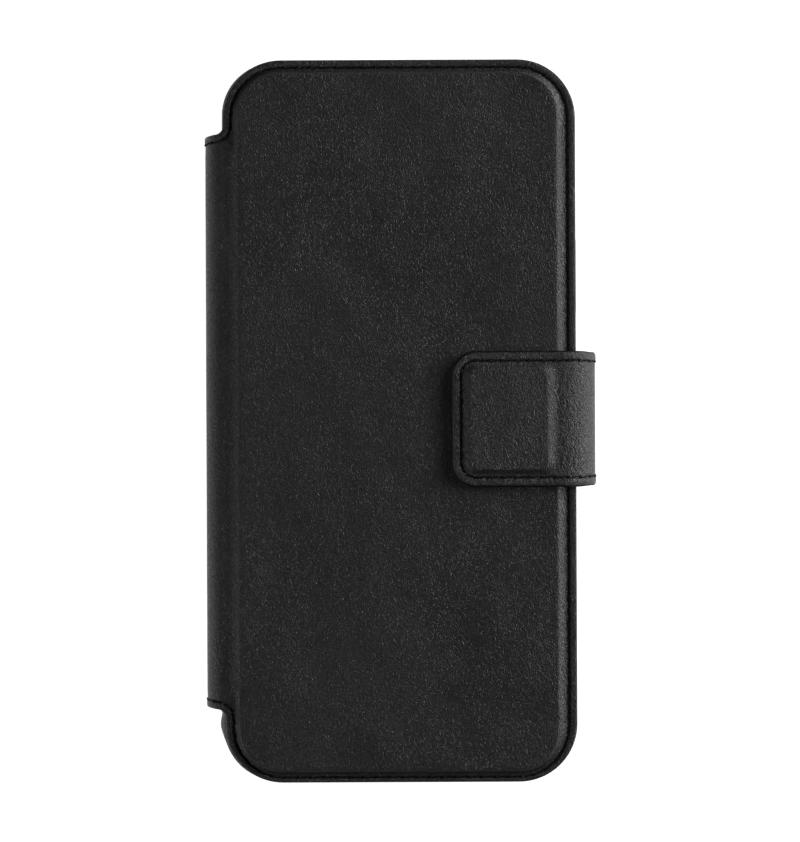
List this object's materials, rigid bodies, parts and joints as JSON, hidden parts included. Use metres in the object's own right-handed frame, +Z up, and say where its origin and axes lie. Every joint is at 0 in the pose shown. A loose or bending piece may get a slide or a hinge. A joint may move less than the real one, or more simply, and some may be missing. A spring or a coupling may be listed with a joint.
{
  "type": "folding phone wallet case",
  "caption": "Folding black leather phone wallet case with a moulded phone shell, inner card pockets and a magnetic strap closure.",
  "frame": {"origin": "on the table under the middle of the closed case, which lies on its back", "axes": "+Z up through the front cover, +Y towards the case's top edge, +X towards the strap, spine on -X"},
  "size_m": [0.089, 0.165, 0.0217],
  "materials": {
    "outer_leather": "fine grained black leather, semi-matte",
    "pocket_leather": "thin smooth black leather",
    "lining": "dark microfibre, brushed",
    "board": "pressed fibre board, matte",
    "foam": "thin closed-cell foam",
    "shell_plastic": "moulded, satin",
    "button_plastic": "moulded, satin",
    "magnet": "nickel-plated sheet magnet",
    "thread": "waxed black polyester thread"
  },
  "bodies": {
    "root": {"rear_leather": "outer_leather", "rear_board": "board", "rear_lining": "lining", "camera_ring": "shell_plastic", "phone_shell": "shell_plastic", "shell_liner": "lining"},
    "spine": {"spine_leather": "outer_leather", "spine_board": "board", "spine_lining": "lining"},
    "front_cover": {"front_leather": "outer_leather", "front_foam": "foam", "front_board": "board", "cover_magnet": "magnet", "front_lining": "lining", "cash_pocket": "pocket_leather", "card_pocket_1": "pocket_leather", "card_pocket_2": "pocket_leather", "card_pocket_3": "pocket_leather", "front_stitching": "thread"},
    "strap_band": {"strap_band_leather": "outer_leather", "strap_band_lining": "lining"},
    "strap_tab": {"strap_tab_leather": "outer_leather", "strap_tab_lining": "lining", "strap_stiffener": "board", "strap_magnet": "magnet", "strap_stitching": "thread"},
    "volume_up_button_cap": {"volume_up_button": "button_plastic"},
    "volume_down_button_cap": {"volume_down_button": "button_plastic"},
    "action_button_cap": {"action_button": "button_plastic"},
    "side_button_cap": {"side_button": "button_plastic"}
  },
  "joints": [
    {"name": "spine_fold", "type": "hinge", "parent": "root", "child": "spine", "pos_m": [-0.0438, 0, 0.00164], "axis": [0, -1, 0], "range_deg": [0, 90]},
    {"name": "cover_fold", "type": "hinge", "parent": "spine", "child": "front_cover", "pos_m": [-0.04337, 0, 0.01722], "axis": [0, -1, 0], "range_deg": [0, 90]},
    {"name": "strap_band_fold", "type": "hinge", "parent": "root", "child": "strap_band", "pos_m": [0.0438, 0, 0.00164], "axis": [0, 1, 0], "range_deg": [0, 90]},
    {"name": "strap_tab_fold", "type": "hinge", "parent": "strap_band", "child": "strap_tab", "pos_m": [0.04337, 0, 0.01982], "axis": [0, 1, 0], "range_deg": [0, 90]},
    {"name": "volume_up_button_press", "type": "slide", "parent": "root", "child": "volume_up_button_cap", "axis": [1, 0, 0], "range_m": [0, 0.0004], "stiffness_N_per_m": 1500},
    {"name": "volume_down_button_press", "type": "slide", "parent": "root", "child": "volume_down_button_cap", "axis": [1, 0, 0], "range_m": [0, 0.0004], "stiffness_N_per_m": 1500},
    {"name": "action_button_press", "type": "slide", "parent": "root", "child": "action_button_cap", "axis": [1, 0, 0], "range_m": [0, 0.0004], "stiffness_N_per_m": 1500},
    {"name": "side_button_press", "type": "slide", "parent": "root", "child": "side_button_cap", "axis": [-1, 0, 0], "range_m": [0, 0.0004], "stiffness_N_per_m": 1500}
  ]
}
